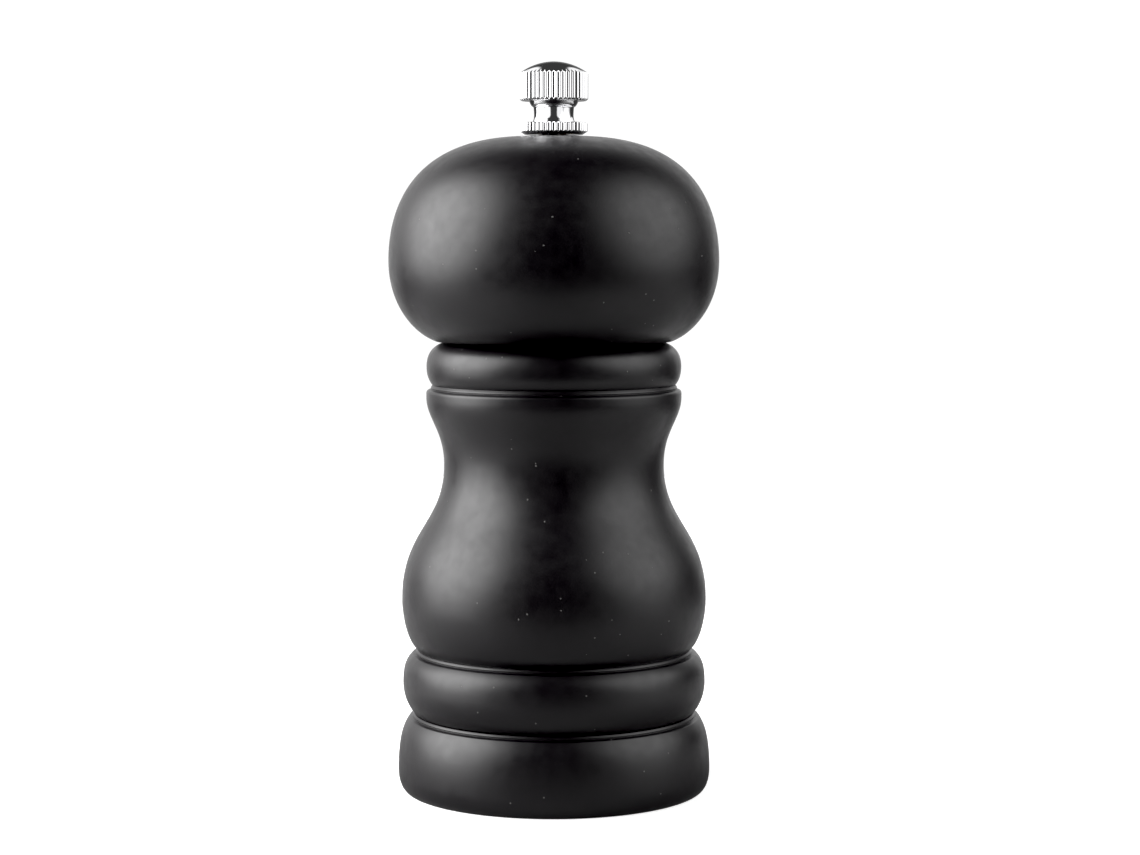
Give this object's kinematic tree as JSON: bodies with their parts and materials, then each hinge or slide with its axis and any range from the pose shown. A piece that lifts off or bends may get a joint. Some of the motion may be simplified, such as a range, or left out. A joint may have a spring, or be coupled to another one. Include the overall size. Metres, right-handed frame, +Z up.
{
  "type": "pepper mill",
  "caption": "Small turned black pepper mill: the ball head turns a steel grinder through a square rod, and a knurled chrome nut sets how fine it grinds.",
  "frame": {"origin": "centre of the flat ring that the mill stands on", "axes": "+Z up along the mill's turning axis, towards the nut"},
  "size_m": [0.0588, 0.0588, 0.13],
  "materials": {
    "black_wood": "satin black lacquer on turned hardwood",
    "chrome": "bright plated",
    "burr_steel": "dark hardened steel",
    "zinc_steel": "zinc plated",
    "spring_steel": "drawn wire",
    "aluminium": "drawn bar, as extruded"
  },
  "bodies": {
    "mill_body": {"mill_body": "black_wood", "outer_burr": "burr_steel", "burr_retainer": "zinc_steel", "crossbar": "zinc_steel", "crossbar_screw_1": "zinc_steel", "crossbar_screw_2": "zinc_steel", "retainer_screw_1": "zinc_steel", "retainer_screw_2": "zinc_steel"},
    "spring_group": {"spring_seat": "zinc_steel", "burr_spring": "spring_steel"},
    "drive_shaft": {"drive_rod": "aluminium", "inner_burr": "burr_steel", "burr_washer": "zinc_steel", "rod_clip": "spring_steel"},
    "head": {"head": "black_wood", "drive_plate": "zinc_steel", "drive_plate_screw_1": "zinc_steel", "drive_plate_screw_2": "zinc_steel", "drive_plate_screw_3": "zinc_steel"},
    "nut": {"adjusting_nut": "chrome"}
  },
  "joints": [
    {"name": "head_turn", "type": "hinge", "parent": "mill_body", "child": "spring_group", "pos_m": [0, 0, 0.0802], "axis": [0, 0, 1], "continuous": true},
    {"name": "grind_adjust", "type": "slide", "parent": "spring_group", "child": "drive_shaft", "axis": [0, 0, 1], "range_m": [-0.0016, 0], "deforming": ["burr_spring"]},
    {"name": "head_lift", "type": "slide", "parent": "spring_group", "child": "head", "axis": [0, 0, 1], "range_m": [0, 0.075]},
    {"name": "nut_turn", "type": "hinge", "parent": "head", "child": "nut", "pos_m": [0, 0, 0.1235], "axis": [0, 0, 1], "range_deg": [0, 720]}
  ],
  "couplings": [
    {"joint": "nut_turn", "follows": "grind_adjust", "rad_per_m": -7854}
  ]
}
